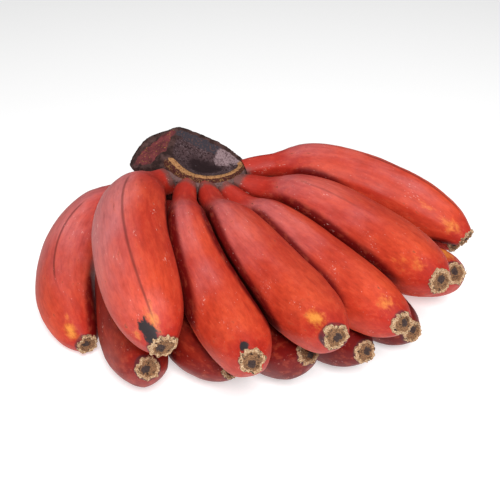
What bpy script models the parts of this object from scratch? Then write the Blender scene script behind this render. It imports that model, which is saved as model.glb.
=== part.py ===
"""A hand of red bananas: one cut crown and two rows of seven fingers, lying on its lower row.

Metres, +Z up, the surface that it rests on is Z = 0, and the tips point to -Y.
Each finger is a loft of soft five-sided rings along a Bezier centre line. Where two fingers press on
each other, both are flattened along the surface between them, with a narrow gap left open.
"""

import bmesh
import bpy
import numpy as np

MM = 0.001

# The front of the crown's rim, measured from the middle of the footprint. Every other place is from here.
RIM_FRONT = np.array((-31.6, 45.7, 80.0))

SIDES = 20  # of a finger's ring, four for each of its five flats
RIDGES = 5
FLATNESS = 0.05  # how far a flat lies inside the ridges, as a share of the radius
FINGER_GAP = 0.7  # between two fingers that press on each other
CROWN_GAP = 0.4  # between a stalk and the crown that it grows from
LINE_SAMPLES = 60  # points along a neighbour's centre line
CURVE_SAMPLES = 400  # points that a centre line's length is measured over
PRESS_STEPS = 14  # halvings, to find where two fingers meet

# name: root, two Bezier handles and tip of the centre line, largest radius, roll of the ridges in degrees
FINGERS = {
    "upper_finger_1": ((-41, 24, -16), (-68, 41, -27), (-124, 3, -62), (-69, -82, -68), 20.2, 30),
    "upper_finger_2": ((-19.5, 12, -6), (-52, -15, 5), (-47.5, -61, -6), (-15, -137, -23), 23.2, 10),
    "upper_finger_3": ((-11, 2, -6), (-20, -51, -4), (19, -95, -46), (30, -153, -19), 20.5, 0),
    "upper_finger_4": ((0, 1, -8), (14, -54, -6), (57, -93, -32), (70, -150, -6), 20.0, 15),
    "upper_finger_5": ((11, 4, -10), (46, -30, -18), (82, -73, -33), (108, -124, -19), 20.5, 0),
    "upper_finger_6": ((20, 9, -9), (68, -1, -5), (115, -40, -28), (133, -96, -12), 21.0, 20),
    "upper_finger_7": ((25, 21, -4), (72, 38, 6), (144, 3, -19), (168, -21, -31), 19.5, 0),
    "lower_finger_1": ((-32, 19, -19), (-70, -14, -48), (-41, -84, -78), (-26, -125, -49), 20.5, 0),
    "lower_finger_2": ((-21, 12, -21), (-22, -8, -69), (-26, -71, -67), (19, -120, -54), 19.5, 20),
    "lower_finger_3": ((-8, 11, -22), (1, -34, -55), (32, -80, -83), (60, -124, -39), 19.5, 10),
    "lower_finger_4": ((5, 11, -23), (19, -5, -52), (56, -41, -78), (93, -110, -50), 20.5, 0),
    "lower_finger_5": ((18, 10, -22), (63, 6, -45), (102, -35, -76), (125, -84, -57), 20.5, 15),
    "lower_finger_6": ((24, 19, -19), (70, 36, -50), (139, 18, -88), (155, -52, -37), 21.0, 5),
    "lower_finger_7": ((24, 26, -12), (74, 59, -24), (142, 48, -44), (170, 4, -51), 20.0, 0),
}

# share of the length, share of the largest radius: stalk, shoulder, body, bottle neck, dried flower end
PROFILE = (
    (0.00, 0.42), (0.06, 0.41), (0.11, 0.415), (0.15, 0.49), (0.20, 0.665), (0.26, 0.845),
    (0.34, 0.945), (0.43, 0.99), (0.53, 1.0), (0.63, 1.0), (0.72, 0.98), (0.79, 0.93),
    (0.85, 0.85), (0.90, 0.75), (0.94, 0.62), (0.97, 0.48), (1.00, 0.325),
)
# share of the largest radius, millimetres past the tip: the corky lip, the hollow in it and its dry stub
FLOWER_END = ((0.25, 0.2), (0.19, -1.4), (0.09, -0.4))
STUB_HEIGHT = 0.6

# Loops round the crown, each from its right side by the back, the left and the front to the right again
CUT_EDGE = (
    (21, 18.5, 1), (15, 25.5, 0), (6, 32, 3), (-7, 35, 9.5), (-18, 33, 16),
    (-22, 24, 12.5), (-21, 13.5, 10), (-11, 5.5, 4), (1, 4, 1), (14, 9, 0.5),
)
RIM = (
    (26, 19.5, 2), (19.5, 28.5, 5), (9, 36.5, 9), (-9, 40, 16), (-21, 38, 20),
    (-29, 26.5, 14), (-28, 11, 11), (-15, -1, 4), (1, -1, 0), (17, 5, 0),
)
SKIRT = (
    (27, 20, -3), (21, 31.5, -5), (8, 41.5, -1.5), (-12, 44, 3), (-37, 37, 14.5),
    (-51.5, 22, 0), (-33, 10, 3), (-18, -2, 0), (1, -3.5, -3.5), (18, 3.5, -3.5),
)
WAIST = (
    (29, 21, -13.5), (22, 35, -16.5), (5, 40.5, -18.5), (-18, 41, -16.5), (-38, 35.5, -13.5),
    (-45, 23.5, -12), (-34, 12.5, -12), (-17, 3.5, -15), (1, 1.5, -16.5), (19, 6.5, -15),
)
FOOT = (
    (22, 21, -27.5), (16, 27.5, -29.5), (2, 29.5, -31), (-14, 28.5, -31), (-27, 26, -28.5),
    (-32, 20, -26.5), (-25, 14, -27.5), (-12, 9.5, -29), (2, 8.5, -29.5), (15, 11.5, -29),
)
CUT_HOLLOW = (-1, 17, 0)
CUT_DISH = ((0.35, 0.16), (0.7, 0.19))  # share of the way out to the edge, share of its height that is sunk
FOOT_MIDDLE = (-3, 17, -33)
FOOT_INNER = 0.5  # share of the foot's loop that its last ring spans
CROWN_SIDES = 40
LOOP_STEPS = 2  # rings from one of the crown's loops to the next

MATERIALS = {
    "red_peel": ((0.42, 0.055, 0.035, 1.0), 0.38),
    "dried_crown": ((0.065, 0.035, 0.03, 1.0), 0.85),
}


def clear_scene():
    for thing in list(bpy.data.objects):
        bpy.data.objects.remove(thing)


def new_collection(name):
    collection = bpy.data.collections.new(name)
    bpy.context.scene.collection.children.link(collection)
    return collection


def new_material(name):
    colour, roughness = MATERIALS[name]
    material = bpy.data.materials.new(name)
    material.use_nodes = True
    shader = material.node_tree.nodes["Principled BSDF"]
    shader.inputs["Base Color"].default_value = colour
    shader.inputs["Roughness"].default_value = roughness
    shader.inputs["Metallic"].default_value = 0.0
    return material


def unit(vectors):
    return vectors / np.linalg.norm(vectors, axis=-1, keepdims=True)


def centre_line(handles, shares):
    """Points and directions of a cubic Bezier at shares of its length."""
    t = np.linspace(0, 1, CURVE_SAMPLES)[:, None]
    a, b, c, d = (np.array(handle, float) for handle in handles)
    curve = (1 - t) ** 3 * a + 3 * (1 - t) ** 2 * t * b + 3 * (1 - t) * t**2 * c + t**3 * d
    slope = (1 - t) ** 2 * (b - a) + 2 * (1 - t) * t * (c - b) + t**2 * (d - c)
    run = np.append(0, np.cumsum(np.linalg.norm(np.diff(curve, axis=0), axis=1)))
    at = np.interp(np.asarray(shares) * run[-1], run, t[:, 0])
    points = np.stack([np.interp(at, t[:, 0], curve[:, k]) for k in range(3)], axis=1)
    ahead = np.stack([np.interp(at, t[:, 0], slope[:, k]) for k in range(3)], axis=1)
    return points, unit(ahead)


def carried_frame(ahead):
    """Two directions across the line at each station, carried along it without twist."""
    up = np.array((0.0, 0.0, 1.0))
    across = []
    for direction in ahead:
        up = unit(up - up.dot(direction) * direction)
        across.append((up, np.cross(direction, up)))
    return np.array(across)


def soft_pentagon(roll):
    """Angles round a ring, and how far out the peel lies at each."""
    turn = np.arange(SIDES) * 2 * np.pi / SIDES
    reach = 1 - FLATNESS * np.abs(np.sin(turn * RIDGES / 2))
    return turn + np.radians(roll), reach


def neighbour_lines(name):
    """Centre points and radii of every finger but this one."""
    shares = np.linspace(0, 1, LINE_SAMPLES)
    stations, radii = zip(*PROFILE)
    lines = []
    for other, (*handles, radius, _) in FINGERS.items():
        if other != name:
            lines.append((centre_line(handles, shares)[0], radius * np.interp(shares, stations, radii)))
    return lines


def depth_in(points, line, radii):
    """How far from a neighbour's line each point is, in the neighbour's own radii, and that radius."""
    apart = np.linalg.norm(points[:, None] - line[None], axis=2) / radii
    nearest = apart.argmin(axis=1)
    return apart[np.arange(len(points)), nearest], radii[nearest]


def is_clear(trial, centres, rays, own_radius, lines):
    """Whether each ray, this far out, is still on the finger's own side of all its neighbours."""
    points = centres + rays * trial[:, None]
    clear = np.ones(len(trial), bool)
    for line, radii in lines:
        depth, radius = depth_in(points, line, radii)
        margin = FINGER_GAP / 2 * (1 / own_radius + 1 / radius)
        clear &= trial / own_radius + margin <= depth
    return clear


def pressed_reach(centres, rays, reach, own_radius, lines):
    """The reach along each ray, shortened where a neighbour presses on it."""
    free = is_clear(reach, centres, rays, own_radius, lines)
    low = np.zeros(len(reach))
    high = reach
    for _ in range(PRESS_STEPS):
        trial = (low + high) / 2
        clear = is_clear(trial, centres, rays, own_radius, lines)
        low = np.where(clear, trial, low)
        high = np.where(clear, high, trial)
    return np.where(free, reach, low)


def finger_rings(name):
    """Rings of points from the root to the dried flower end, then the middle of its stub."""
    *handles, radius, roll = FINGERS[name]
    stations, radii = (np.array(column) for column in zip(*PROFILE))
    centres, ahead = centre_line(handles, stations)
    frame = carried_frame(ahead)
    turn, outline = soft_pentagon(roll)
    rays = np.cos(turn)[None, :, None] * frame[:, :1] + np.sin(turn)[None, :, None] * frame[:, 1:]
    reach = radius * radii[:, None] * outline
    own = np.repeat(radius * radii, SIDES)
    middle = np.repeat(centres, SIDES, axis=0)
    pressed = pressed_reach(middle, rays.reshape(-1, 3), reach.ravel(), own, neighbour_lines(name))
    rings = centres[:, None] + rays * pressed.reshape(reach.shape)[..., None]
    tip, forward = centres[-1], ahead[-1]
    end = [rings]
    for share, past in FLOWER_END:
        shrunk = (rings[-1] - tip) * share / radii[-1] + tip + forward * past
        end.append(shrunk[None])
    rings = np.concatenate(end)
    return rings, centres[0], tip + forward * STUB_HEIGHT


def on_the_table(points):
    """From the rim's front to the footprint's middle, flattened where it rests on the surface."""
    placed = np.array(points, float) + RIM_FRONT
    placed[..., 2] = np.maximum(placed[..., 2], 0)
    return placed * MM


def round_loop(corners, count):
    """A smooth closed Catmull-Rom curve through the corners."""
    corners = np.array(corners, float)
    at = np.arange(count) * len(corners) / count
    index = at.astype(int)
    t = (at - index)[:, None]
    before, start, end, after = (corners[(index + k) % len(corners)] for k in (-1, 0, 1, 2))
    return 0.5 * (
        2 * start
        + (end - before) * t
        + (2 * before - 5 * start + 4 * end - after) * t**2
        + (3 * start - before - 3 * end + after) * t**3
    )


def crown_rings():
    """Rings from the hollow of the cut face, over the rim and down to the foot."""
    edge, rim, skirt, waist, foot = (
        round_loop(corners, CROWN_SIDES) for corners in (CUT_EDGE, RIM, SKIRT, WAIST, FOOT)
    )
    hollow = np.array(CUT_HOLLOW, float)
    middle = np.array(FOOT_MIDDLE, float)
    rings = []
    for share, sunk in CUT_DISH:
        ring = hollow + (edge - hollow) * share
        ring[:, 2] -= (edge[:, 2] - hollow[2]) * sunk
        rings.append(ring)
    rings += [edge, rim]
    for upper, lower in ((rim, skirt), (skirt, waist), (waist, foot)):
        for step in range(1, LOOP_STEPS + 1):
            rings.append(upper + (lower - upper) * step / LOOP_STEPS)
    rings.append(middle + (foot - middle) * FOOT_INNER)
    return np.array(rings), hollow, middle


def loft(name, rings, start, end, collection, material):
    """A closed mesh through rings of equal count, with a fan at each end."""
    mesh = bpy.data.meshes.new(name)
    shape = bmesh.new()
    rows = [[shape.verts.new(point) for point in ring] for ring in rings]
    for row, following in zip(rows, rows[1:]):
        for k in range(len(row)):
            after = (k + 1) % len(row)
            shape.faces.new((row[k], row[after], following[after], following[k]))
    for row, point, turned in ((rows[0], start, True), (rows[-1], end, False)):
        middle = shape.verts.new(point)
        for k in range(len(row)):
            pair = (row[k], row[(k + 1) % len(row)])
            shape.faces.new((middle, *(reversed(pair) if turned else pair)))
    bmesh.ops.recalc_face_normals(shape, faces=shape.faces)
    shape.to_mesh(mesh)
    shape.free()
    mesh.shade_smooth()
    thing = bpy.data.objects.new(name, mesh)
    mesh.materials.append(material)
    collection.objects.link(thing)
    return thing


def clearance_of(crown, cutters):
    """The crown grown by the gap, which trims the stalks."""
    cutter = crown.copy()
    cutter.data = crown.data.copy()
    cutter.name = "crown_clearance"
    for vertex, normal in zip(cutter.data.vertices, [v.normal.copy() for v in cutter.data.vertices]):
        vertex.co += normal * CROWN_GAP * MM
    cutter.hide_render = True
    cutter.display_type = "WIRE"
    cutters.objects.link(cutter)
    return cutter


def trim(finger, cutter):
    cut = finger.modifiers.new("grown_from_crown", "BOOLEAN")
    cut.operation = "DIFFERENCE"
    cut.solver = "EXACT"
    cut.object = cutter


def build():
    clear_scene()
    hand = new_collection("hand_of_red_bananas")
    cutters = new_collection("cutters")
    peel = new_material("red_peel")
    dried = new_material("dried_crown")
    rings, hollow, middle = crown_rings()
    crown = loft("crown", on_the_table(rings), on_the_table(hollow), on_the_table(middle), hand, dried)
    cutter = clearance_of(crown, cutters)
    for name in FINGERS:
        rings, root, stub = finger_rings(name)
        finger = loft(name, on_the_table(rings), on_the_table(root), on_the_table(stub), hand, peel)
        trim(finger, cutter)


build()
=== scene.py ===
# %% [markdown]
# # A hand of red bananas
# A hand is what a grower cuts from the bunch: two rows of fruit, called fingers, on one piece of stalk,
# called the crown. This lesson dresses a plain solid model of it. The solids give the size and the place
# of every piece, and each piece here is made again, finer, on the same measures.
# Lengths are in millimetres until a mesh is stored, because fruit is easier to think of that way.

import bpy
import numpy as np
from mathutils import Matrix, Vector, noise


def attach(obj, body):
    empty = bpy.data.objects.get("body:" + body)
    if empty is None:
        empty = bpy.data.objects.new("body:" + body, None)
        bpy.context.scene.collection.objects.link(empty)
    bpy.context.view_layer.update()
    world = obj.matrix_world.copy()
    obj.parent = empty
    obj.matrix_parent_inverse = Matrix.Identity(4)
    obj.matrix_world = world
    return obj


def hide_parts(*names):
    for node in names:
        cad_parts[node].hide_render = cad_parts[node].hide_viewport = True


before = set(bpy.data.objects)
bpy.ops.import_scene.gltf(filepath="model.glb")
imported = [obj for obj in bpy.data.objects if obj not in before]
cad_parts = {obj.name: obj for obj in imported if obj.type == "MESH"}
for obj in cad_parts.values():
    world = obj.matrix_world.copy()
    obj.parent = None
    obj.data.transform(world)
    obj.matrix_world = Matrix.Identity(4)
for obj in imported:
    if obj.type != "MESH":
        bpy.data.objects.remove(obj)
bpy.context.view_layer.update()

MM = 0.001
scene = bpy.context.scene
print("nodes:", len(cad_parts))

# %% [markdown]
# ## Helpers
# Colours are written as hex, as a paint chart gives them, and Blender's shaders want linear light, so one
# function turns one into the other. One more adds a node with its settings and its links, because that
# is nearly all that building a node tree consists of.

# %% Colour and node helpers
def linear(colour):
    """An sRGB hex colour as linear red, green, blue and alpha."""
    channels = [int(colour[k:k + 2], 16) / 255 for k in (1, 3, 5)]
    return (*(c / 12.92 if c <= 0.04045 else ((c + 0.055) / 1.055) ** 2.4 for c in channels), 1.0)


def add(tree, kind, inputs=None, **settings):
    """Adds a node. An input that is given a socket is linked to it, and any other is set."""
    node = tree.nodes.new(kind)
    for name, value in settings.items():
        setattr(node, name, value)
    for name, value in (inputs or {}).items():
        if isinstance(value, bpy.types.NodeSocket):
            tree.links.new(value, node.inputs[name])
        else:
            node.inputs[name].default_value = value
    return node


# %% Geometry node trees as tools
def new_tree(name, inputs):
    """A geometry tree with named inputs. Gives the tree and its input sockets."""
    tree = bpy.data.node_groups.new(name, "GeometryNodeTree")
    for label, kind in inputs.items():
        tree.interface.new_socket(label, in_out="INPUT", socket_type="NodeSocket" + kind)
    tree.interface.new_socket("Geometry", in_out="OUTPUT", socket_type="NodeSocketGeometry")
    return tree, tree.nodes.new("NodeGroupInput").outputs


def grow(name, tree, start=None, **settings):
    """Runs a tree on a mesh and keeps what comes out as a plain mesh, with no modifier left."""
    thing = bpy.data.objects.new(name, start or bpy.data.meshes.new(name))
    modifier = thing.modifiers.new("grow", "NODES")
    modifier.node_group = tree
    for item in tree.interface.items_tree:
        if item.in_out == "INPUT" and item.name.replace(" ", "_") in settings:
            modifier[item.identifier] = settings[item.name.replace(" ", "_")]
    scene.collection.objects.link(thing)
    graph = bpy.context.evaluated_depsgraph_get()
    mesh = bpy.data.meshes.new_from_object(
        thing.evaluated_get(graph), preserve_all_data_layers=True, depsgraph=graph
    )
    thing.modifiers.clear()
    thing.data = mesh
    mesh.name = name
    return thing


def keep(thing, slot_name, *nodes):
    """A finished piece belongs to the hand's one body and stands for these solid nodes."""
    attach(thing, "root")
    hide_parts(*nodes)
    print(thing.name, len(thing.data.polygons), "faces")


# %% Mesh helpers
def read(mesh, name, width=1):
    """A named attribute of a mesh, or its points, as an array."""
    if name == "position":
        values = np.zeros(len(mesh.vertices) * 3)
        mesh.vertices.foreach_get("co", values)
        return values.reshape(-1, 3)
    values = np.zeros(len(mesh.vertices) * width, np.float32)
    mesh.attributes[name].data.foreach_get("value" if width == 1 else "vector", values)
    return values.reshape(-1, 3).astype(float) if width == 3 else values.astype(float)


def write(mesh, name, values):
    """Stores one number, or one vector, for each vertex."""
    kind = "FLOAT" if values.ndim == 1 else "FLOAT_VECTOR"
    attribute = mesh.attributes.get(name) or mesh.attributes.new(name, kind, "POINT")
    attribute.data.foreach_set("value" if values.ndim == 1 else "vector", values.astype(np.float32).ravel())


def unit(vectors):
    return vectors / np.maximum(np.linalg.norm(vectors, axis=-1, keepdims=True), 1e-9)


def smooth(low, high, value):
    """0 below low, 1 above high, and an even turn between."""
    t = np.clip((value - low) / (high - low), 0, 1)
    return t * t * (3 - 2 * t)


def wander(points, wavelength, seed, waves=6):
    """A soft random field of about -1 to 1, made of a few plane waves."""
    draw = np.random.default_rng(seed)
    directions = unit(draw.normal(size=(waves, 3)))
    stretch = draw.uniform(0.7, 1.5, waves)
    phase = draw.uniform(0, 2 * np.pi, waves)
    turns = points @ (directions * stretch[:, None]).T / wavelength
    return np.sin(turns * 2 * np.pi + phase).mean(axis=1) * 1.6


# %% [markdown]
# ## The fingers' measures
# Each finger is a curved spindle: a thin stalk, a plump body and a short bottle neck. One Bezier curve
# gives its bend, one profile its thickness, and five soft ridges its section, as in every banana.
# These are the solid model's own values, counted from the front of the crown's rim.

# %% Measures of the hand
RIM_FRONT = np.array((-31.6, 45.7, 80.0))  # its height above the table, and its place over the footprint
RIDGES = 5
RIDGE_DEPTH = 0.05  # how far a flat lies inside the ridges, as a share of the radius
FINGER_GAP = 0.7  # between two fingers that press on each other
# root, two handles and tip of the centre line, largest radius, roll of the ridges in degrees
FINGERS = {
    "upper_finger_1": ((-41, 24, -16), (-68, 41, -27), (-124, 3, -62), (-69, -82, -68), 20.2, 30),
    "upper_finger_2": ((-19.5, 12, -6), (-52, -15, 5), (-47.5, -61, -6), (-15, -137, -23), 23.2, 10),
    "upper_finger_3": ((-11, 2, -6), (-20, -51, -4), (19, -95, -46), (30, -153, -19), 20.5, 0),
    "upper_finger_4": ((0, 1, -8), (14, -54, -6), (57, -93, -32), (70, -150, -6), 20.0, 15),
    "upper_finger_5": ((11, 4, -10), (46, -30, -18), (82, -73, -33), (108, -124, -19), 20.5, 0),
    "upper_finger_6": ((20, 9, -9), (68, -1, -5), (115, -40, -28), (133, -96, -12), 21.0, 20),
    "upper_finger_7": ((25, 21, -4), (72, 38, 6), (144, 3, -19), (168, -21, -31), 19.5, 0),
    "lower_finger_1": ((-32, 19, -19), (-70, -14, -48), (-41, -84, -78), (-26, -125, -49), 20.5, 0),
    "lower_finger_2": ((-21, 12, -21), (-22, -8, -69), (-26, -71, -67), (19, -120, -54), 19.5, 20),
    "lower_finger_3": ((-8, 11, -22), (1, -34, -55), (32, -80, -83), (60, -124, -39), 19.5, 10),
    "lower_finger_4": ((5, 11, -23), (19, -5, -52), (56, -41, -78), (93, -110, -50), 20.5, 0),
    "lower_finger_5": ((18, 10, -22), (63, 6, -45), (102, -35, -76), (125, -84, -57), 20.5, 15),
    "lower_finger_6": ((24, 19, -19), (70, 36, -50), (139, 18, -88), (155, -52, -37), 21.0, 5),
    "lower_finger_7": ((24, 26, -12), (74, 59, -24), (142, 48, -44), (170, 4, -51), 20.0, 0),
}
# share of the length, share of the largest radius
PROFILE = (
    (0.00, 0.42), (0.06, 0.41), (0.11, 0.415), (0.15, 0.49), (0.20, 0.665), (0.26, 0.845),
    (0.34, 0.945), (0.43, 0.99), (0.53, 1.0), (0.63, 1.0), (0.72, 0.98), (0.79, 0.93),
    (0.85, 0.85), (0.90, 0.75), (0.94, 0.62), (0.97, 0.48), (1.00, 0.325),
)

# %% [markdown]
# ## One finger as a node tree
# A sweep of a section along a curve is what Curve to Mesh does. The tree draws the Bezier curve, bends a
# circle into the five-ridged section and sweeps it, with the profile as the scale. It also stores where
# each point came from, because the peel's pattern and the pressing below are worked out from that.

# %% The finger tree
def finger_tree():
    tree, given = new_tree("banana_finger", {
        "Root": "Vector", "Root Handle": "Vector", "Tip Handle": "Vector", "Tip": "Vector",
        "Radius": "Float", "Roll": "Float", "Ridge Depth": "Float", "Sides": "Int", "Stations": "Int",
        "Peel": "Material",
    })
    bend = add(tree, "GeometryNodeCurvePrimitiveBezierSegment", {
        "Resolution": 400, "Start": given["Root"], "Start Handle": given["Root Handle"],
        "End Handle": given["Tip Handle"], "End": given["Tip"],
    }, mode="POSITION")
    line = add(tree, "GeometryNodeResampleCurve", {"Curve": bend.outputs[0], "Count": given["Stations"]})
    share = add(tree, "GeometryNodeSplineParameter").outputs["Factor"]
    here = add(tree, "GeometryNodeInputPosition").outputs[0]
    marked = add(tree, "GeometryNodeCaptureAttribute")
    marked.capture_items.new("FLOAT", "along")
    marked.capture_items.new("VECTOR", "centre")
    for name, value in (("Geometry", line.outputs[0]), ("along", share), ("centre", here)):
        tree.links.new(value, marked.inputs[name])
    plump = add(tree, "ShaderNodeFloatCurve", {"Value": share})
    curve = plump.mapping.curves[0]
    for _ in PROFILE[2:]:
        curve.points.new(0.5, 0.5)
    for point, place in zip(curve.points, PROFILE):
        point.location = place
    plump.mapping.update()
    scale = add(tree, "ShaderNodeMath", {0: plump.outputs[0], 1: given["Radius"]}, operation="MULTIPLY")
    section, turn = ridged_section(tree, given, here)
    swept = add(tree, "GeometryNodeCurveToMesh", {
        "Curve": marked.outputs[0], "Profile Curve": section, "Scale": scale.outputs[0], "Fill Caps": True,
    })
    result = swept.outputs[0]
    for name, kind, value in (
        ("along", "FLOAT", marked.outputs["along"]),
        ("centre", "FLOAT_VECTOR", marked.outputs["centre"]),
        ("turn", "FLOAT", turn),
    ):
        result = add(tree, "GeometryNodeStoreNamedAttribute",
                     {"Geometry": result, "Name": name, "Value": value}, data_type=kind).outputs[0]
    result = add(tree, "GeometryNodeRealizeInstances", {"Geometry": result}).outputs[0]
    result = add(tree, "GeometryNodeSetMaterial", {"Geometry": result, "Material": given["Peel"]}).outputs[0]
    add(tree, "NodeGroupOutput", {"Geometry": result})
    return tree


def ridge_wave(tree, place):
    """The angle round a finger's axis, and a wave that is 0 on each ridge and 1 midway between two."""
    x_y = add(tree, "ShaderNodeSeparateXYZ", {0: place}).outputs
    angle = add(tree, "ShaderNodeMath", {0: x_y[1], 1: x_y[0]}, operation="ARCTAN2").outputs[0]
    wave = add(tree, "ShaderNodeMath", {0: angle, 1: RIDGES / 2}, operation="MULTIPLY").outputs[0]
    for step in ("SINE", "ABSOLUTE"):
        wave = add(tree, "ShaderNodeMath", {0: wave}, operation=step).outputs[0]
    return angle, wave


def ridged_section(tree, given, here):
    """The section curve, a circle drawn in between its five ridges, and the angle round it."""
    circle = add(tree, "GeometryNodeCurvePrimitiveCircle", {"Resolution": given["Sides"], "Radius": 1.0})
    angle, wave = ridge_wave(tree, here)
    marked = add(tree, "GeometryNodeCaptureAttribute")
    marked.capture_items.new("FLOAT", "turn")
    tree.links.new(circle.outputs[0], marked.inputs["Geometry"])
    tree.links.new(angle, marked.inputs["turn"])
    drawn = add(tree, "ShaderNodeMath", {0: wave, 1: given["Ridge Depth"]}, operation="MULTIPLY")
    reach = add(tree, "ShaderNodeMath", {0: 1.0, 1: drawn.outputs[0]}, operation="SUBTRACT")
    bent = add(tree, "ShaderNodeVectorMath", {"Vector": here, "Scale": reach.outputs[0]}, operation="SCALE")
    rolled = add(tree, "ShaderNodeVectorRotate", {"Vector": bent.outputs[0], "Angle": given["Roll"]},
                 rotation_type="Z_AXIS")
    section = add(tree, "GeometryNodeSetPosition", {
        "Geometry": marked.outputs[0], "Position": rolled.outputs[0],
    })
    return section.outputs[0], marked.outputs["turn"]


grow_finger = finger_tree()
print("finger tree:", len(grow_finger.nodes), "nodes")

# %% [markdown]
# ## The crown's measures
# The crown is described by closed loops round it, from the edge of the cut down to its foot. They come
# this early because the stalks are dusty where they run into its skirt.

# %% The crown's loops
# each from its right side by the back, the left and the front to the right again
CUT_EDGE = (
    (21, 18.5, 1), (15, 25.5, 0), (6, 32, 3), (-7, 35, 9.5), (-18, 33, 16),
    (-22, 24, 12.5), (-21, 13.5, 10), (-11, 5.5, 4), (1, 4, 1), (14, 9, 0.5),
)
RIM = (
    (26, 19.5, 2), (19.5, 28.5, 5), (9, 36.5, 9), (-9, 40, 16), (-21, 38, 20),
    (-29, 26.5, 14), (-28, 11, 11), (-15, -1, 4), (1, -1, 0), (17, 5, 0),
)
SKIRT = (
    (27, 20, -3), (21, 31.5, -5), (8, 41.5, -1.5), (-12, 44, 3), (-37, 37, 14.5),
    (-51.5, 22, 0), (-33, 10, 3), (-18, -2, 0), (1, -3.5, -3.5), (18, 3.5, -3.5),
)
WAIST = (
    (29, 21, -13.5), (22, 35, -16.5), (5, 40.5, -18.5), (-18, 41, -16.5), (-38, 35.5, -13.5),
    (-45, 23.5, -12), (-34, 12.5, -12), (-17, 3.5, -15), (1, 1.5, -16.5), (19, 6.5, -15),
)
FOOT = (
    (22, 21, -27.5), (16, 27.5, -29.5), (2, 29.5, -31), (-14, 28.5, -31), (-27, 26, -28.5),
    (-32, 20, -26.5), (-25, 14, -27.5), (-12, 9.5, -29), (2, 8.5, -29.5), (15, 11.5, -29),
)
CUT_HOLLOW = (-1, 17, 0)
FOOT_MIDDLE = (-3, 17, -33)
CROWN_HEART = (-3, 17, -14)  # deep inside, where the tissue's relief points away from
CROWN_SIDES = 480


def round_loop(corners):
    """A smooth closed Catmull-Rom curve through the corners."""
    corners = np.array(corners, float)
    at = np.arange(CROWN_SIDES) * len(corners) / CROWN_SIDES
    index = at.astype(int)
    t = (at - index)[:, None]
    before, start, end, after = (corners[(index + k) % len(corners)] for k in (-1, 0, 1, 2))
    return 0.5 * (2 * start + (end - before) * t + (2 * before - 5 * start + 4 * end - after) * t**2
                  + (3 * start - before - 3 * end + after) * t**3)


SKIRT_LOOP = round_loop(SKIRT)[::8]  # every eighth point is near enough to measure the dust by

# %% [markdown]
# ## Fingers that press on each other
# Fingers grow packed together, so each is flattened where it meets the next, along the surface that is
# equally deep in both. Every point of a finger is drawn back towards its centre line until it is on its
# own side, with half of the gap left. A soft minimum, not a hard one, rounds the edge of the flat.

# %% Where the neighbours' centre lines run
STATIONS = 220
SIDES = 100
PRESS_STEPS = 12
EDGE_SOFTNESS = 0.45  # millimetres over which a pressed flat turns into the round peel
REACHABLE = 26  # millimetres past its own box at which a finger can still touch a neighbour's line
ROOM = 1.15  # how far out, as a share of the reach, the search for a neighbour starts
stations, shares = (np.array(column) for column in zip(*PROFILE))


def bezier(handles, count):
    t = np.linspace(0, 1, count)[:, None]
    a, b, c, d = (np.array(handle, float) for handle in handles)
    return (1 - t) ** 3 * a + 3 * (1 - t) ** 2 * t * b + 3 * (1 - t) * t**2 * c + t**3 * d


def centre_line(name, count=70):
    """Evenly spaced points on a finger's centre line, its radius at each, and its length."""
    fine = bezier(FINGERS[name][:4], 400)
    run = np.append(0, np.cumsum(np.linalg.norm(np.diff(fine, axis=0), axis=1)))
    at = np.linspace(0, run[-1], count)
    points = np.stack([np.interp(at, run, fine[:, k]) for k in range(3)], axis=1)
    return points, FINGERS[name][4] * np.interp(np.linspace(0, 1, count), stations, shares), run[-1]


LINES = {name: centre_line(name) for name in FINGERS}
print("longest finger", round(max(line[2] for line in LINES.values())), "mm along its curve")


# %% Pressing
def is_clear(trial, centres, rays, own, lines):
    """Whether each ray, this far out, is on the finger's own side of all its neighbours."""
    points = centres + rays * trial[:, None]
    clear = np.ones(len(trial), bool)
    size = (points**2).sum(axis=1)[:, None]
    for line, radii, _ in lines:
        apart = (size - 2 * points @ line.T + (line**2).sum(axis=1)) / radii**2
        nearest = apart.argmin(axis=1)
        margin = FINGER_GAP / 2 * (1 / own + 1 / radii[nearest])
        clear &= trial / own + margin <= np.sqrt(apart[np.arange(len(points)), nearest])
    return clear


def pressed(name, centres, rays, reach, own):
    """The reach along each ray, drawn in softly where a neighbour presses."""
    points = centres + rays * reach[:, None]
    low, high = points.min(axis=0), points.max(axis=0)
    lines = [
        line for other, line in LINES.items()
        if other != name and (line[0].max(axis=0) + REACHABLE > low).all()
        and (line[0].min(axis=0) - REACHABLE < high).all()
    ]
    limit = reach * ROOM
    near = np.flatnonzero(~is_clear(limit, centres, rays, own, lines))
    outside, inside = limit[near], np.zeros(len(near))
    for _ in range(PRESS_STEPS):
        trial = (outside + inside) / 2
        clear = is_clear(trial, centres[near], rays[near], own[near], lines)
        inside = np.where(clear, trial, inside)
        outside = np.where(clear, outside, trial)
    limit[near] = inside
    soft = -EDGE_SOFTNESS * np.logaddexp(-reach / EDGE_SOFTNESS, -limit / EDGE_SOFTNESS)
    return np.where(limit < reach * (ROOM - 0.01), soft, reach)


# %% [markdown]
# ## Growing the fourteen fingers
# The tree gives each finger its clean shape. Then it is pressed, made a little uneven as grown things
# are, and flattened where it rests. Its skin is also marked for the painter: how far along and round the
# finger each point is, and which parts carry bloom, ripe patches, dark ridge lines and smudges.

# %% Unevenness and the table
PAINTED_SHADE_REACH = 8.0  # millimetres of gap to the next finger over which the painted shade fades and the peel turns from crimson to its open colour


def gap_to_neighbours(name, points):
    """How far each point is from the nearest other finger."""
    gap = np.full(len(points), np.inf)
    size = (points**2).sum(axis=1)[:, None]
    for other, (line, radii, _) in LINES.items():
        if other != name:
            apart = np.sqrt(size - 2 * points @ line.T + (line**2).sum(axis=1)) - radii
            gap = np.minimum(gap, apart.min(axis=1))
    return gap
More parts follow.
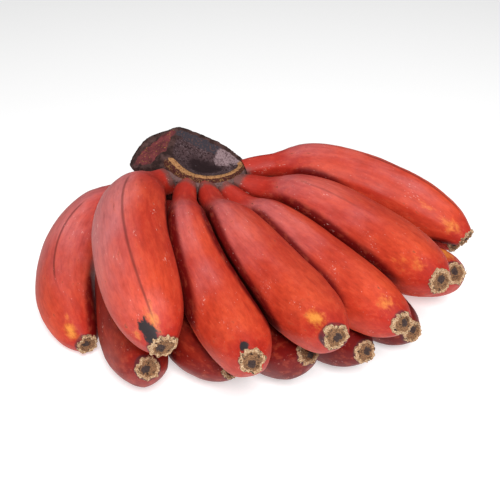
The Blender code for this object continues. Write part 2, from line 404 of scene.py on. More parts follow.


# painted shade on the fingers underneath: how crimson their whole skin is
PAINTED_SHADE_UNDERNEATH = {f"lower_finger_{k}": 0.5 + 0.12 * min(k - 1, 3) for k in range(1, 6)}
UNEVEN = ((34.0, 0.45), (11.0, 0.16), (4.0, 0.05))  # wavelength and depth of the hollows, in millimetres


def shape_finger(thing, name, seed):
    """Presses and ages the clean sweep, stores where each point is on the straightened finger, and marks
    painted shade where other fingers are near.
    """
    mesh = thing.data
    position, centre, along = read(mesh, "position"), read(mesh, "centre", 3), read(mesh, "along")
    turn = read(mesh, "turn")
    reach = np.linalg.norm(position - centre, axis=1)
    rays = unit(position - centre)
    own = FINGERS[name][4] * np.interp(along, stations, shares)
    straight = np.stack([own * np.cos(turn), own * np.sin(turn), along * LINES[name][2]], axis=1)
    reach = pressed(name, centre, rays, reach, own)
    for k, (wavelength, depth) in enumerate(UNEVEN):
        reach -= depth * (0.5 + 0.5 * wander(straight, wavelength, seed + k)) * np.clip(own / 12, 0.3, 1)
    placed = centre + rays * reach[:, None] + RIM_FRONT
    placed[:, 2] = np.maximum(placed[:, 2], 0)
    mesh.vertices.foreach_set("co", (placed * MM).ravel())
    mesh.update()
    mesh.shade_smooth()
    write(mesh, "straight", straight)
    # painted shade: the peel turns crimson where another finger is near, as shade falls between fingers
    fold = 1 - smooth(0.5, PAINTED_SHADE_REACH, gap_to_neighbours(name, placed - RIM_FRONT))
    fold *= 0.35 + 0.65 * smooth(0.12, 0.3, along)
    write(mesh, "fold", np.maximum(fold, PAINTED_SHADE_UNDERNEATH.get(name, 0)))
    for used in ("centre", "turn"):
        mesh.attributes.remove(mesh.attributes[used])
    return straight, along, turn


# %% Marks on the skin
# For each spot: share of the length, degrees round, millimetres long and wide, strength. RIPE spots are
# yellow, SCARS nearly black, and PALE ones carry more of the wax.
RIPE = {
    "upper_finger_1": ((0.955, -50, 7, 4.5, 0.75), (0.91, -66, 8, 3, 0.4)),
    "upper_finger_2": ((0.95, 2, 8, 4, 0.6), (0.955, 55, 5, 4, 0.4)),
    "upper_finger_4": ((0.952, 22, 7, 5, 0.8),),
    "upper_finger_5": ((0.95, 20, 7, 6, 0.5),),
    "upper_finger_6": ((0.88, 42, 10, 5, 0.4), (0.935, 24, 8, 5, 0.4)),
    "upper_finger_7": ((0.93, 58, 10, 6, 0.5), (0.8, 50, 14, 5, 0.3)),
    "lower_finger_6": ((0.93, 20, 10, 12, 0.9),),
}
SCARS = {
    "upper_finger_2": ((0.978, 26, 7, 4.0, 1.0),),
    "upper_finger_3": ((0.983, 16, 2.6, 2.6, 1.0),),
}
PALE = {
    "upper_finger_1": ((0.5, -110, 70, 22, 0.8),),
    "upper_finger_2": ((0.92, -15, 14, 9, 0.9), (0.94, 50, 9, 6, 0.7), (0.55, 45, 75, 22, 1.0)),
    "upper_finger_7": ((0.75, 25, 30, 6, 0.9),),
}
# degrees of the ridge, share of the length where the line starts and ends, strength
LINE_MARKS = {
    "upper_finger_1": ((-72, 0.3, 0.7, 0.65),),
    "upper_finger_2": ((0, 0.3, 0.93, 0.6),),
    "upper_finger_4": ((-72, 0.6, 0.78, 0.4),),
    "upper_finger_6": ((0, 0.3, 0.55, 0.3),),
    "upper_finger_7": ((0, 0.5, 0.9, 0.7),),
}


def spots(table, name, along, turn):
    """Soft oval marks on one finger, from a table of them."""
    mark = np.zeros(len(along))
    for share, degrees, length, width, strength in table.get(name, ()):
        away = (np.degrees(turn) - degrees + 180) % 360 - 180
        across = np.radians(away) * FINGERS[name][4] * np.interp(along, stations, shares)
        far = ((along - share) * LINES[name][2] / length) ** 2 + (across / width) ** 2
        mark = np.maximum(mark, strength * np.exp(-far))
    return mark


def mark_skin(mesh, name, along, turn, seed):
    """Stores, for each point of a finger's skin, how much of each kind of colour it carries."""
    normals = np.zeros(len(mesh.vertices) * 3)
    mesh.vertices.foreach_get("normal", normals)
    normals = normals.reshape(-1, 3)
    straight = read(mesh, "straight", 3)
    cloud = wander(straight * (1, 1, 0.5), 26, seed + 11)
    shoulder = smooth(0.1, 0.22, along) * (1 - smooth(0.42, 0.75, along + 0.08 * cloud))
    up = smooth(0.25, 1.0, normals @ unit(np.array((-0.6, 0.1, 0.85))))
    pale = spots(PALE, name, along, turn)
    write(mesh, "bloom", np.clip(up * (0.2 + 0.5 * shoulder) + 0.6 * pale, 0, 1))
    # partly the peel's own orange and partly painted light: the middle of the body takes the orange blotches
    write(mesh, "orange_and_painted_light", smooth(0.2, 0.4, along) * (1 - smooth(0.9, 0.99, along)))
    write(mesh, "ripe", spots(RIPE, name, along, turn))
    write(mesh, "scar", spots(SCARS, name, along, turn))
    write(mesh, "smudge", 0.75 * smooth(0.982, 1.0, along + 0.01 * cloud))
    to_skirt = read(mesh, "position")[:, None] / MM - (RIM_FRONT + SKIRT_LOOP)[None]
    near = np.linalg.norm(to_skirt, axis=2).min(axis=1)
    dirt = 0.75 * (1 - smooth(0.5, 7.0, near + 1.5 * cloud)) + 0.25 * (1 - smooth(4.0, 26.0, near))
    write(mesh, "dirt", dirt)
    lines = np.zeros(len(along))
    for degrees, start, end, strength in LINE_MARKS.get(name, ()):
        away = np.abs((np.degrees(turn) - degrees + 180) % 360 - 180)
        run = smooth(start - 0.05, start + 0.02, along) * (1 - smooth(end - 0.02, end + 0.05, along))
        lines = np.maximum(lines, strength * run * (1 - smooth(20, 34, away)))
    write(mesh, "line", lines)


# %% [markdown]
# ## Red banana peel
# The peel is a living, waxy skin: brick red, with fine fibres along the finger, a thin pinkish bloom of wax
# on top, dark lines where the ridges were rubbed, a little yellow where it ripens and pale scratches. Light
# and shade are painted on it too: orange blotches over the middle of the body are partly the peel's own tone
# and partly painted light, and crimson where fingers meet and over the fingers underneath is painted shade.
# Everything is painted on the straightened finger, whose coordinates were stored with the skin, so no pattern
# slides or stretches.

# %% A material and its shader
def new_material(name, roughness, specular):
    """A new material with its node tree and its shader, in which only the gloss is set."""
    material = bpy.data.materials.new(name)
    material.use_nodes = True
    tree = material.node_tree
    shader = tree.nodes["Principled BSDF"]
    for socket, value in (("Roughness", roughness), ("IOR", 1.45), ("Specular IOR Level", specular)):
        shader.inputs[socket].default_value = value
    return material, tree, shader


def over(tree, under, factor, colour):
    """Paints a colour over another, as far as the factor says."""
    colour = linear(colour) if isinstance(colour, str) else colour
    under = linear(under) if isinstance(under, str) else under
    return add(tree, "ShaderNodeMix", {0: factor, 6: under, 7: colour}, data_type="RGBA").outputs[2]


def worn(tree, mark, pattern, spread, low=0.35, high=0.65):
    """A soft mark broken up by a pattern: the pattern shifts the mark's edge by up to spread."""
    shifted = add(tree, "ShaderNodeMath", {0: pattern, 1: spread, 2: mark}, operation="MULTIPLY_ADD")
    half = spread / 2
    return add(tree, "ShaderNodeMapRange", {
        "Value": shifted.outputs[0], "From Min": low + half, "From Max": high + half,
    }, interpolation_type="SMOOTHSTEP").outputs[0]


# %% The peel
# millimetres from one streak, patch, cloud, mottle, grain or nick to the next
FIBRE, BLOTCH, CLOUD, MOTTLE, GRAIN, NICK = 1.1, 24.0, 1 / 0.14, 1 / 0.3, 0.5, 1 / 1.3
# crimson is the peel's own deep red in the mottle and fibres, and also the painted shade where fingers meet
PEEL = {
    "crimson": "#640604", "brick": "#AE2A1C", "orange": "#D24A29", "light": "#DD6442",
    "bloom": "#D8969A", "ripe": "#DE8C3A", "speck": "#E8B0A4", "dirt": "#6E423D",
    "line": "#4B1513", "smudge": "#4A262B", "scar": "#2E2628",
}


def peel_material():
    material, tree, shader = new_material("living_banana_peel_waxy", 0.5, 0.3)
    grown = add(tree, "ShaderNodeAttribute", attribute_name="straight").outputs["Vector"]
    mark = {
        name: add(tree, "ShaderNodeAttribute", attribute_name=name).outputs["Fac"]
        for name in ("bloom", "orange_and_painted_light", "ripe", "smudge", "dirt", "line", "fold", "scar")
    }
    long_way = add(tree, "ShaderNodeMapping", {"Vector": grown, "Scale": (1, 1, 0.06)}).outputs[0]
    half_way = add(tree, "ShaderNodeMapping", {"Vector": grown, "Scale": (1, 1, 0.4)}).outputs[0]
    short = add(tree, "ShaderNodeMapping", {"Vector": grown, "Scale": (1, 1, 0.35)}).outputs[0]
    fibre, blotch, cloud, mottle, grain, nick = (
        add(tree, "ShaderNodeTexNoise", {
            "Vector": place, "Scale": 1 / apart, "Detail": detail, "Roughness": roughness,
        }).outputs["Fac"]
        for place, apart, detail, roughness in (
            (long_way, FIBRE, 4.0, 0.5), (half_way, BLOTCH, 3.0, 0.5), (half_way, CLOUD, 4.0, 0.5),
            (half_way, MOTTLE, 6.0, 0.62), (grown, GRAIN, 2.0, 0.5), (short, NICK, 2.0, 0.5),
        )
    )
    # orange blotches over the middle of the body, partly the peel's own tone and partly painted light
    orange_partly_painted_light = add(tree, "ShaderNodeMapRange", {"Value": blotch, "From Min": 0.3, "From Max": 0.7}).outputs[0]
    orange_partly_painted_light = add(tree, "ShaderNodeMath", {0: orange_partly_painted_light, 1: mark["orange_and_painted_light"]}, operation="MULTIPLY").outputs[0]
    colour = over(tree, PEEL["brick"], orange_partly_painted_light, PEEL["orange"])
    bloom = worn(tree, mark["bloom"], cloud, 0.5, 0.1, 1.3)
    bloom = add(tree, "ShaderNodeMath", {0: bloom, 1: 0.5}, operation="MULTIPLY").outputs[0]
    colour = over(tree, colour, bloom, PEEL["bloom"])
    # painted shade: crimson where the fold mark says another finger is near
    colour = over(tree, colour, worn(tree, mark["fold"], cloud, 0.5, 0.1, 0.8), PEEL["crimson"])
    colour = over(tree, colour, worn(tree, mark["ripe"], mottle, 1.2, 0.2, 0.9), PEEL["ripe"])
    # where each pattern starts and is full, how much it then covers, and its colour
    for pattern, start, full, most, paint in (
        (mottle, 0.55, 0.3, 0.25, "crimson"), (mottle, 0.52, 0.75, 0.3, "light"),
        (fibre, 0.5, 0.25, 0.2, "crimson"),
    ):
        share = add(tree, "ShaderNodeMapRange", {
            "Value": pattern, "From Min": start, "From Max": full, "To Max": most,
        }).outputs[0]
        colour = over(tree, colour, share, PEEL[paint])
    _, wave = ridge_wave(tree, grown)
    ridge = add(tree, "ShaderNodeMapRange", {
        "Value": wave, "From Min": 0.01, "From Max": 0.15, "To Min": 1.0, "To Max": 0.0,
    }, interpolation_type="SMOOTHSTEP").outputs[0]
    drawn = add(tree, "ShaderNodeMath", {0: ridge, 1: mark["line"]}, operation="MULTIPLY").outputs[0]
    colour = over(tree, colour, drawn, PEEL["line"])
    for paint, pattern, spread, low, high in (
        ("dirt", cloud, 0.8, 0.3, 1.0), ("smudge", cloud, 0.8, 0.3, 0.9), ("scar", mottle, 1.6, 0.2, 0.5),
    ):
        colour = over(tree, colour, worn(tree, mark[paint], pattern, spread, low, high), PEEL[paint])
    nick = add(tree, "ShaderNodeMath", {0: cloud, 1: 0.6, 2: nick}, operation="MULTIPLY_ADD").outputs[0]
    nick = add(tree, "ShaderNodeMapRange", {"Value": nick, "From Min": 1.03, "From Max": 1.09,
                                            "To Max": 0.5}).outputs[0]
    colour = over(tree, colour, nick, PEEL["speck"])
    tree.links.new(colour, shader.inputs["Base Color"])
    rough = add(tree, "ShaderNodeMapRange", {"Value": cloud, "To Min": 0.4, "To Max": 0.66}).outputs[0]
    tree.links.new(rough, shader.inputs["Roughness"])
    relief = add(tree, "ShaderNodeMath", {0: grain, 1: 0.35, 2: fibre}, operation="MULTIPLY_ADD").outputs[0]
    bump = add(tree, "ShaderNodeBump", {"Strength": 0.35, "Distance": 0.00025, "Height": relief})
    tree.links.new(bump.outputs[0], shader.inputs["Normal"])
    return material


peel = peel_material()
print("peel:", len(peel.node_tree.nodes), "nodes")

# %% Grow them
for seed, (name, (*handles, radius, roll)) in enumerate(FINGERS.items()):
    root, root_handle, tip_handle, tip = handles
    finger = grow(
        "red_" + name, grow_finger, Root=root, Root_Handle=root_handle, Tip_Handle=tip_handle, Tip=tip,
        Radius=radius, Roll=np.radians(roll - 90), Ridge_Depth=RIDGE_DEPTH, Sides=SIDES, Stations=STATIONS,
        Peel=peel,
    )
    straight, along, turn = shape_finger(finger, name, seed * 100)
    mark_skin(finger.data, name, along, turn, seed * 100)
    keep(finger, "red_peel", name)

# %% [markdown]
# ## The dried flower ends
# Where the flower broke off, each finger ends in a torn collar of cork round a dark, dry stub. It is a
# disc with a rough profile from the stub outwards, and small chips of cork lie on its torn edge.

# %% The cork disc
# share of the end's radius, millimetres past the tip, from the buried back to the stub in front
CORK_PROFILE = (
    (0.0, -2.8), (0.60, -2.8), (0.90, -2.4), (0.97, -1.2), (0.99, -0.3), (0.97, 0.4), (0.92, 0.8),
    (0.86, 0.9), (0.80, 0.6), (0.74, 0.6), (0.68, 0.9), (0.62, 1.0), (0.56, 0.7),
    (0.50, 0.3), (0.38, 0.2), (0.32, 0.1), (0.27, 0.3), (0.22, 0.6), (0.17, 0.9), (0.12, 1.1),
    (0.06, 1.2), (0.0, 1.2),
)
CORK_SIDES = 96
CORK_STEPS = 3  # rings from one point of the profile to the next
END_SHARE = PROFILE[-1][1]
PEEL_COVER = 0.15  # millimetres that the front of the disc stays above the end of the peel


def ring_mesh(name, rings, material, marks):
    """A closed skin through rings of points in millimetres, whose first and last rings are single points."""
    count = rings.shape[1]
    points = np.concatenate([rings[0][:1], rings[1:-1].reshape(-1, 3), rings[-1][:1]])
    first, last = 0, len(points) - 1
    faces = []
    rows = len(rings) - 2

    def row(k, i):
        return 1 + k * count + i % count

    for i in range(count):
        faces.append((first, row(0, i), row(0, i + 1)))
        faces.extend((row(k, i), row(k + 1, i), row(k + 1, i + 1), row(k, i + 1)) for k in range(rows - 1))
        faces.append((row(rows - 1, i), last, row(rows - 1, i + 1)))
    mesh = bpy.data.meshes.new(name)
    mesh.from_pydata((points * MM).tolist(), [], faces)
    mesh.materials.append(material)
    mesh.shade_smooth()
    for label, values in marks.items():
        write(mesh, label, np.concatenate([values[0][:1], values[1:-1].ravel(), values[-1][:1]]))
    thing = bpy.data.objects.new(name, mesh)
    scene.collection.objects.link(thing)
    return thing


def cork_end(name, material, seed):
    """The torn collar and stub at a finger's tip."""
    *handles, radius, _ = FINGERS[name]
    tip = np.array(handles[3], float)
    forward = unit(tip - np.array(handles[2], float))
    side = unit(np.cross(forward, (0.0, 0.0, 1.0)))
    upward = np.cross(side, forward)
    profile = np.array(CORK_PROFILE)
    whole = np.arange(len(profile))
    fine = np.linspace(0, whole[-1], whole[-1] * CORK_STEPS + 1)
    share, past = (np.interp(fine, whole, column) for column in profile.T)
    angles = np.arange(CORK_SIDES) * 2 * np.pi / CORK_SIDES
    shape = (len(share), CORK_SIDES)
    rings, tears, pits, lips = np.zeros((*shape, 3)), np.zeros(shape), np.zeros(shape), np.zeros(shape)
    for k, i in np.ndindex(shape):
        reach, height, x, y = share[k], past[k], np.cos(angles[i]), np.sin(angles[i])
        place = Vector((x * reach * 3.2, y * reach * 3.2, seed * 7.3))
        edge = Vector((x * 2.0, y * 2.0, seed * 3.1))
        front = smooth(-2.0, -0.8, height)
        torn = front * smooth(0.45, 0.75, reach)
        ragged = 0.2 * noise.noise(edge) + 0.16 * noise.noise(edge * 2.3)
        out = reach * radius * END_SHARE * (1 + front * ragged)
        rise = height * (1 - 0.25 * front * noise.noise(edge * 0.9))
        rise += torn * (1.0 * noise.noise(place) + 0.7 * noise.noise(place * 2.7))
        rise += front * 0.7 * noise.noise(place * 1.7)
        if front > 0.99 and reach < 0.95:
            rise = max(rise, PEEL_COVER)
        rings[k, i] = tip + forward * rise + (side * x + upward * y) * out
        tears[k, i] = torn
        hole = np.hypot(x * reach - 0.2 * np.sin(seed), y * reach - 0.2 * np.cos(seed))
        pits[k, i] = 1 - smooth(0.1, 0.5, hole) if height > -1.5 else 0.0
        lips[k, i] = smooth(0.62, 0.8, reach)
    marks = {"shaggy": tears, "pit": pits, "lip": lips}
    return ring_mesh("cork_end_" + name, rings + RIM_FRONT, material, marks)


# %% [markdown]
# ## Chips and fibres
# Dry plant tissue frays. One tree covers a surface with small tapered splinters, densest where the
# surface is marked shaggy. Short, wide ones are chips of cork, and long, thin ones are the grey fluff
# under the crown's rim.

# %% The fraying tree
def fraying_tree():
    tree, given = new_tree("frayed_fibres", {
        "Surface": "Geometry", "Density": "Float", "Length": "Float", "Width": "Float", "Lean": "Float",
        "Seed": "Int", "Fibre": "Material",
    })
    shaggy = add(tree, "GeometryNodeInputNamedAttribute", {"Name": "shaggy"}, data_type="FLOAT").outputs[0]
    crowd = add(tree, "ShaderNodeMath", {0: shaggy, 1: given["Density"]}, operation="MULTIPLY").outputs[0]
    spread = add(tree, "GeometryNodeDistributePointsOnFaces", {
        "Mesh": given["Surface"], "Density": crowd, "Seed": given["Seed"],
    })
    splinter = add(tree, "GeometryNodeMeshCone", {
        "Vertices": 4, "Side Segments": 2, "Radius Top": 0.00003, "Radius Bottom": given["Width"],
        "Depth": given["Length"],
    })
    back = add(tree, "ShaderNodeMath", {0: given["Lean"], 1: -1.0}, operation="MULTIPLY").outputs[0]
    low = add(tree, "ShaderNodeCombineXYZ", {0: back, 1: back, 2: 0.0}).outputs[0]
    high = add(tree, "ShaderNodeCombineXYZ", {0: given["Lean"], 1: given["Lean"], 2: 6.28}).outputs[0]
    lean = add(tree, "FunctionNodeRandomValue", {0: low, 1: high, "Seed": 1}, data_type="FLOAT_VECTOR")
    lean = add(tree, "FunctionNodeEulerToRotation", {0: lean.outputs[0]}).outputs[0]
    turned = add(tree, "FunctionNodeRotateRotation", {0: spread.outputs["Rotation"], 1: lean},
                 rotation_space="LOCAL").outputs[0]
    size = add(tree, "FunctionNodeRandomValue", {0: (0.5, 0.3, 0.4), 1: (1.3, 0.9, 1.4), "Seed": 2},
               data_type="FLOAT_VECTOR").outputs[0]
    placed = add(tree, "GeometryNodeInstanceOnPoints", {
        "Points": spread.outputs[0], "Instance": splinter.outputs[0], "Rotation": turned, "Scale": size,
    }).outputs[0]
    result = add(tree, "GeometryNodeRealizeInstances", {"Geometry": placed}).outputs[0]
    result = add(tree, "GeometryNodeSetMaterial", {"Geometry": result, "Material": given["Fibre"]}).outputs[0]
    add(tree, "NodeGroupOutput", {"Geometry": result})
    return tree


grow_fibres = fraying_tree()

# %% [markdown]
# ## Cork
# Cork is dead bark: tan, dull and crumbly, brown in its cracks, and nearly black at the dry stub. It
# scatters light evenly, so its roughness is high and it has almost no gloss.

# %% The cork material
CORK = {"tan": "#946C4A", "pale": "#CDB291", "brown": "#6A4C38", "crack": "#33221B", "stub": "#40322F"}


def cork_material():
    material, tree, shader = new_material("dry_torn_cork", 0.85, 0.25)
    place = add(tree, "ShaderNodeTexCoord").outputs["Object"]
    pit, lip = (
        add(tree, "ShaderNodeAttribute", attribute_name=name).outputs["Fac"] for name in ("pit", "lip")
    )
    coarse = add(tree, "ShaderNodeTexNoise", {"Vector": place, "Scale": 420.0, "Detail": 6.0,
                                              "Roughness": 0.65}).outputs["Fac"]
    fine = add(tree, "ShaderNodeTexNoise", {"Vector": place, "Scale": 1900.0, "Detail": 3.0}).outputs["Fac"]
    light = add(tree, "ShaderNodeMapRange", {"Value": fine, "From Min": 0.42, "From Max": 0.62}).outputs[0]
    edge = over(tree, CORK["tan"], light, CORK["pale"])
    inside = over(tree, CORK["brown"], light, CORK["tan"])
    colour = over(tree, inside, worn(tree, lip, coarse, 1.2, 0.3, 0.6), edge)
    crack = add(tree, "ShaderNodeMapRange", {"Value": coarse, "From Min": 0.46, "From Max": 0.36}).outputs[0]
    colour = over(tree, colour, crack, CORK["crack"])
    colour = over(tree, colour, worn(tree, pit, coarse, 2.4, 0.3, 0.5), CORK["stub"])
    tree.links.new(colour, shader.inputs["Base Color"])
    bump = add(tree, "ShaderNodeBump", {"Strength": 0.8, "Distance": 0.0008, "Height": coarse})
    tree.links.new(bump.outputs[0], shader.inputs["Normal"])
    return material


cork = cork_material()

# %% Put an end on each finger
for seed, name in enumerate(FINGERS):
    end = cork_end(name, cork, seed + 1)
    chips = grow("cork_chips_" + name, grow_fibres, end.data.copy(), Density=5e4, Length=0.0011, Width=0.0004,
                 Lean=1.6, Seed=seed, Fibre=cork)
    keep(end, "dried_crown", name)
    keep(chips, "dried_crown", name)

# %% [markdown]
# ## The crown
# The crown is the piece of stalk that the fingers grow from. Its cut face has dried to a dark, velvety
# hollow inside a corky rim; at the back a bark ridge stands up, and on the left a flap of bark has torn
# off and shows red fibre. It is lofted through the same closed loops as the solid, with finer rings.

# %% Rings, and which tissue each point is
def spell(place, start, end, soft=0.25):
    """1 between two of a loop's corners and 0 elsewhere, counted round the loop past its end."""
    middle, half = (start + end) / 2, (end - start) / 2
    away = np.abs((place - middle + 5) % 10 - 5)
    return 1 - smooth(half - soft, half + soft, away)


def crown_mesh(material):
    """The crown's skin. Depth is 0 in the middle of the cut, 1 at its edge, 2 on the rim, 5 at the foot."""
    edge, rim, skirt, waist, foot = (round_loop(loop) for loop in (CUT_EDGE, RIM, SKIRT, WAIST, FOOT))
    hollow, middle = np.array(CUT_HOLLOW, float), np.array(FOOT_MIDDLE, float)
    rings, depth = [np.repeat(hollow[None], CROWN_SIDES, axis=0)], [0.0]
    for share in np.linspace(0.03, 0.97, 40):
        ring = hollow + (edge - hollow) * share
        ring[:, 2] -= (edge[:, 2] - hollow[2]) * 0.75 * share * (1 - share) + 1.2 * (1 - share**2)
        rings.append(ring)
        depth.append(share)
    bands = ((edge, rim, 9), (rim, skirt, 12), (skirt, waist, 18), (waist, foot, 14))
    for k, (upper, lower, steps) in enumerate(bands):
        for step in range(0 if k == 0 else 1, steps + 1):
            rings.append(upper + (lower - upper) * step / steps)
            depth.append(1 + k + step / steps)
    for share in (0.8, 0.5, 0.2, 0.0):
        rings.append(middle + (foot - middle) * share)
        depth.append(6 - share)
    rings = np.array(rings)
    corner = np.broadcast_to(np.arange(CROWN_SIDES) * len(RIM) / CROWN_SIDES, rings.shape[:2])
    depth = np.broadcast_to(np.array(depth)[:, None], rings.shape[:2])
    outward = unit(rings - np.array(CROWN_HEART))
    out_of_cut = smooth(0.96, 1.08, depth)
    inner = depth + 0.16 * np.exp(-(((corner - 1.25) / 0.6) ** 2))
    right_back = spell(corner, 0.25, 1.95, 0.35)
    fold = right_back * smooth(0.60, 0.72, inner) * (1 - smooth(1.4, 1.9, depth))
    front = spell(corner, 6.1, 10.45)
    start = 3.95 + 0.55 * (depth - 1.7)
    torn = smooth(0, 0.5, corner - start) * (1 - smooth(5.4, 5.95, corner))
    marks = {
        "cut": 1 - smooth(0.93, 1.02, depth),
        "hollow": 1 - smooth(0.15, 0.85, depth),
        "rim": out_of_cut * (1 - smooth(1.45, 1.75, depth)) * front,
        "flecked": smooth(1.45, 1.75, depth) * (1 - smooth(2.2, 2.6, depth)) * spell(corner, 6.2, 10.5),
        "dust": smooth(2.1, 2.7, depth) * (1 - smooth(3.2, 3.9, depth)) * spell(corner, 6.4, 10.5),
        "slate": smooth(0.8, 1.1, depth) * (1 - smooth(1.2, 2.0, depth)) * spell(corner, 1.7, 4.0, 0.7),
        "torn": smooth(1.25, 1.8, depth) * (1 - smooth(2.5, 3.1, depth)) * torn,
        "pale": fold,
        "pit": right_back * np.exp(-(((corner - 0.75) / 0.3) ** 2) - ((depth - 0.92) / 0.14) ** 2),
        "flesh": smooth(3.0, 3.8, depth),
        "shaggy": smooth(2.3, 2.8, depth) * (1 - smooth(3.0, 3.5, depth)) * spell(corner, 6.6, 10.4, 0.3),
    }
    rings[..., 2] += 2.6 * right_back * np.exp(-(((inner - 0.74) / 0.08) ** 2))
    rings[..., 2] += 0.3 * fold * np.sin(26 * inner + 3 * corner) - 2.2 * marks["pit"]
    rise = np.zeros(rings.shape[:2])
    for at in np.ndindex(rise.shape):
        point = Vector(rings[at])
        rise[at] = 0.7 * noise.fractal(point * 0.22, 0.7, 2.1, 5) + 0.3 * noise.noise(point * 1.1)
    rise *= 0.6 + 1.2 * marks["torn"] + 0.4 * marks["flecked"]
    rise += 0.7 * marks["rim"] * np.sin(np.clip((depth - 1) * np.pi, 0, np.pi))
    rise[0], rise[-1] = 0, 0
    placed = rings + outward * rise[..., None] + RIM_FRONT
    return ring_mesh("cut_crown", placed, material, marks)


# %% [markdown]
# ## Dried crown tissue
# Cut banana stalk turns brown-black and felted as its latex dries; the rim is cork, the bark at the back
# is slate grey, and torn bark shows maroon fibre with yellow flecks. One material paints them all by
# the marks that the mesh carries, because on the real crown they run into each other.

# %% The crown's material
TISSUE = {
    "bark": "#2E1E1C", "bark_light": "#59403D", "felt": "#251719", "felt_light": "#4B383A",
    "ash": "#77666A", "rim": "#A97A50", "rim_dark": "#70482C", "fleck": "#46201C",
    "fleck_light": "#85623A", "slate": "#38343B", "torn": "#743739", "torn_dark": "#4A2427",
    "torn_fleck": "#9C7434", "pale": "#8E787B", "pale_dark": "#5F4A4D", "pit": "#2A1D21",
    "dust": "#6F5350", "flesh": "#552420", "fluff": "#6F5F5C",
}


def crown_material():
    material, tree, shader = new_material("dried_stalk_tissue", 0.9, 0.2)
    place = add(tree, "ShaderNodeTexCoord").outputs["Object"]
    names = ("cut", "hollow", "rim", "flecked", "slate", "torn", "pale", "pit", "dust", "flesh")
    mark = {name: add(tree, "ShaderNodeAttribute", attribute_name=name).outputs["Fac"] for name in names}
    patch = add(tree, "ShaderNodeTexNoise", {
        "Vector": place, "Scale": 190.0, "Detail": 7.0, "Roughness": 0.65,
    }).outputs["Fac"]
    crumb = add(tree, "ShaderNodeTexNoise", {"Vector": place, "Scale": 900.0, "Detail": 4.0}).outputs["Fac"]
    spread, bits, dark_bits, yellow = (
        add(tree, "ShaderNodeMapRange", {"Value": value, "From Min": start, "From Max": full}).outputs[0]
        for value, start, full in (
            (patch, 0.42, 0.68), (crumb, 0.5, 0.68), (crumb, 0.52, 0.36), (crumb, 0.62, 0.7),
        )
    )
    bark = over(tree, TISSUE["bark"], spread, TISSUE["bark_light"])
    dusty = add(tree, "ShaderNodeMath", {0: spread, 1: bits}, operation="MULTIPLY").outputs[0]
    felt = over(tree, TISSUE["felt_light"], dusty, TISSUE["ash"])
    felt = over(tree, felt, worn(tree, mark["hollow"], patch, 1.2, 0.1, 0.8), TISSUE["felt"])
    felt = over(tree, felt, dark_bits, TISSUE["felt"])
    colour = over(tree, bark, mark["cut"], felt)
    colour = over(tree, colour, mark["flesh"], TISSUE["flesh"])
    colour = over(tree, colour, worn(tree, mark["dust"], patch, 0.6), TISSUE["dust"])
    slate = over(tree, TISSUE["slate"], bits, TISSUE["bark_light"])
    colour = over(tree, colour, worn(tree, mark["slate"], patch, 1.8, 0.3, 0.45), slate)
    torn = over(tree, TISSUE["torn"], spread, TISSUE["torn_dark"])
    torn = over(tree, torn, yellow, TISSUE["torn_fleck"])
    colour = over(tree, colour, worn(tree, mark["torn"], patch, 1.4, 0.3, 0.5), torn)
    pale = over(tree, TISSUE["pale"], dark_bits, TISSUE["pale_dark"])
    colour = over(tree, colour, worn(tree, mark["pale"], patch, 1.0, 0.3, 0.55), pale)
    colour = over(tree, colour, worn(tree, mark["pit"], patch, 0.5), TISSUE["pit"])
    rim = over(tree, TISSUE["rim"], dark_bits, TISSUE["rim_dark"])
    fleck = over(tree, TISSUE["fleck"], bits, TISSUE["fleck_light"])
    colour = over(tree, colour, worn(tree, mark["flecked"], patch, 0.8), fleck)
    colour = over(tree, colour, worn(tree, mark["rim"], patch, 0.6), rim)
    tree.links.new(colour, shader.inputs["Base Color"])
    relief = add(tree, "ShaderNodeMath", {0: crumb, 1: 0.4, 2: patch}, operation="MULTIPLY_ADD").outputs[0]
    bump = add(tree, "ShaderNodeBump", {"Strength": 0.8, "Distance": 0.0012, "Height": relief})
    tree.links.new(bump.outputs[0], shader.inputs["Normal"])
    return material


# %% Build the crown
crown = crown_mesh(crown_material())
fluff, _, fluff_shader = new_material("dry_grey_plant_fluff", 0.9, 0.2)
fluff_shader.inputs["Base Color"].default_value = linear(TISSUE["fluff"])
hairs = grow("crown_fluff", grow_fibres, crown.data.copy(), Density=9e5, Length=0.0026, Width=0.00014,
             Lean=1.1, Seed=7, Fibre=fluff)
keep(crown, "dried_crown", "crown")
keep(hairs, "dried_crown", "crown")

# %% [markdown]
# ## The setting
# A plain pale floor, a soft lamp above and in front and a broader, weaker one overhead light the fruit, and
# an even white sky fills the shadows as a light tent does. The floor glows a little, so that it stays
# white, as paper lit from below does. The camera looks down by 33 degrees.

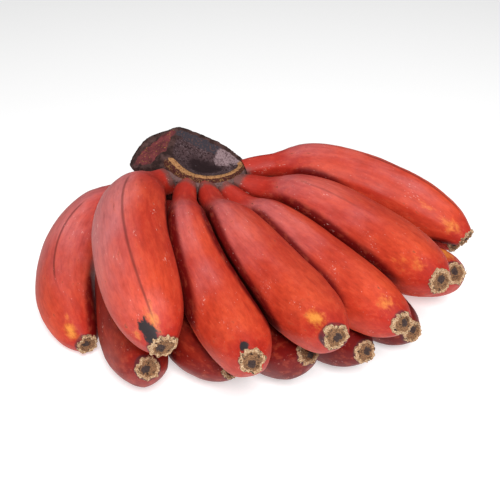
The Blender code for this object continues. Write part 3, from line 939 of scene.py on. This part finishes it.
# %% Floor
FLOOR = 4.0  # half its width, in metres
FLOOR_Z = -0.0003
floor_mesh = bpy.data.meshes.new("floor")
corners = [(x * FLOOR, y * FLOOR, FLOOR_Z) for x, y in ((-1, -1), (1, -1), (1, 1), (-1, 1))]
floor_mesh.from_pydata(corners, [], [(0, 1, 2, 3)])
floor = bpy.data.objects.new("floor", floor_mesh)
scene.collection.objects.link(floor)
paper, _, paper_shader = new_material("matt_white_paper", 0.9, 0.1)
paper_shader.inputs["Base Color"].default_value = linear("#DEDEDE")
paper_shader.inputs["Emission Color"].default_value = (1.0, 1.0, 1.0, 1.0)
paper_shader.inputs["Emission Strength"].default_value = 0.45
floor_mesh.materials.append(paper)

# %% Lamps and sky
def lamp(name, place, size, power):
    """A round soft lamp, in metres and watts, aimed at the middle of the fruit."""
    light = bpy.data.lights.new(name, "AREA")
    light.shape = "DISK"
    light.size = size
    light.energy = power
    thing = bpy.data.objects.new(name, light)
    thing.location = place
    thing.rotation_euler = (Vector((0, 0, 0.04)) - Vector(place)).to_track_quat("-Z", "Y").to_euler()
    scene.collection.objects.link(thing)


lamp("key", (0.1, -0.75, 0.8), 0.35, 13.0)
lamp("top", (0.0, 0.3, 1.1), 0.8, 2.5)
world = bpy.data.worlds.new("light_tent")
world.use_nodes = True
world.node_tree.nodes["Background"].inputs["Color"].default_value = (1.0, 1.0, 1.0, 1.0)
world.node_tree.nodes["Background"].inputs["Strength"].default_value = 0.22
scene.world = world
scene.view_settings.view_transform = "Standard"  # hex colours then show as they were given

# %% Camera
ELEVATION = np.radians(33.0)
DISTANCE = 480.0  # millimetres
AIM = (29.03, -45.16)  # millimetres right of and above the rim's front, across the view
forward = np.array((0.0, np.cos(ELEVATION), -np.sin(ELEVATION)))
right = np.array((1.0, 0.0, 0.0))
upward = np.cross(right, forward)
target = RIM_FRONT + right * AIM[0] + upward * AIM[1]
view = Matrix(np.stack([right, upward, -forward], axis=1).tolist()).to_4x4()
view.translation = Vector((target - forward * DISTANCE) * MM)
camera_data = bpy.data.cameras.new("camera")
camera_data.sensor_width = 36.0
camera_data.lens = 53.57  # millimetres
camera = bpy.data.objects.new("camera", camera_data)
camera.matrix_world = view
scene.collection.objects.link(camera)
scene.camera = camera

# %% Bring the scene up to date
bpy.context.view_layer.update()
